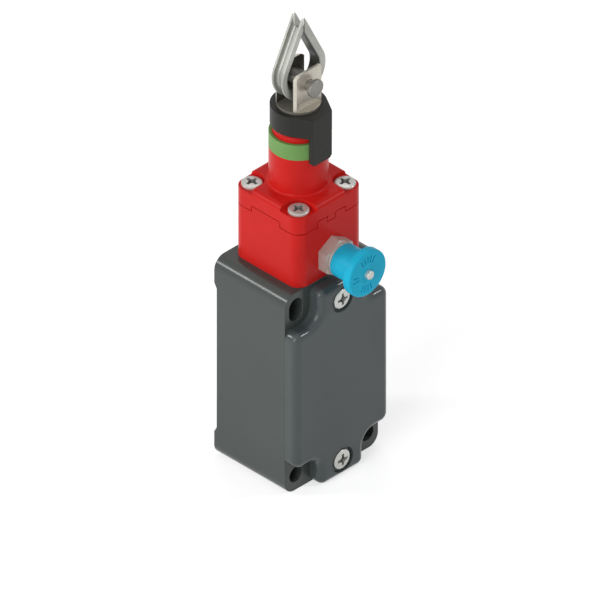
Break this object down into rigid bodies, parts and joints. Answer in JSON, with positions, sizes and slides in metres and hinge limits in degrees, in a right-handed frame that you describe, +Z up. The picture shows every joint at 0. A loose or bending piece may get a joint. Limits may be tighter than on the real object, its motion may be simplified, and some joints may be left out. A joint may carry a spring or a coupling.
{
  "type": "rope pull switch",
  "caption": "Rope pull safety switch: die-cast box, red head with sprung pull rod, tension pointer over a green ring, rope thimble on a clevis, and a pull-to-reset knob.",
  "frame": {"origin": "midway between the two lower fixing holes, on the mounting face", "axes": "+Z up along the pull rod, +Y out of the mounting face, so the cover faces -Y, +X across"},
  "size_m": [0.0392, 0.0465, 0.1584],
  "materials": {
    "housing_paint": "satin powder coat",
    "cover_paint": "satin powder coat",
    "red_paint": "semi-matt",
    "green_plastic": "matt",
    "black_plastic": "matt",
    "blue_plastic": "satin",
    "steel": "brushed",
    "plated_steel": "bright plated",
    "spring_steel": "drawn",
    "brass": "plain",
    "rubber": "matt",
    "insulation": "matt"
  },
  "bodies": {
    "body": {"housing": "housing_paint", "front_cover": "cover_paint", "cover_gasket": "rubber", "cover_screws": "plated_steel", "head_base": "red_paint", "head_cap": "red_paint", "head_screws": "plated_steel", "head_gasket": "rubber", "indicator_ring": "green_plastic", "guide_bush": "brass", "rod_seal": "rubber", "main_spring": "spring_steel", "inner_spring": "spring_steel", "reset_sleeve": "plated_steel", "reset_nut": "plated_steel", "reset_spring": "spring_steel", "contact_block": "insulation", "fixed_contacts": "brass", "terminal_clamps": "plated_steel", "terminal_screws": "plated_steel", "earth_screw": "plated_steel"},
    "rod": {"pull_rod": "steel", "spring_seat": "steel", "seat_clip": "spring_steel", "tension_pointer": "black_plastic", "clevis": "steel", "clevis_pin": "steel", "pin_bush": "steel", "contact_carrier": "insulation", "contact_bridge": "brass"},
    "thimble": {"rope_thimble": "steel"},
    "reset": {"reset_knob": "blue_plastic", "reset_shaft": "steel"}
  },
  "joints": [
    {"name": "rod_slide", "type": "slide", "parent": "body", "child": "rod", "axis": [0, 0, 1], "range_m": [0, 0.008], "stiffness_N_per_m": 2000, "deforming": ["main_spring", "inner_spring"]},
    {"name": "thimble_swing", "type": "hinge", "parent": "rod", "child": "thimble", "pos_m": [0, -0.01595, 0.1298], "axis": [0, 1, 0], "range_deg": [-60, 60]},
    {"name": "reset_slide", "type": "slide", "parent": "body", "child": "reset", "axis": [0, -1, 0], "range_m": [0, 0.004], "stiffness_N_per_m": 400, "deforming": ["reset_spring"]}
  ]
}
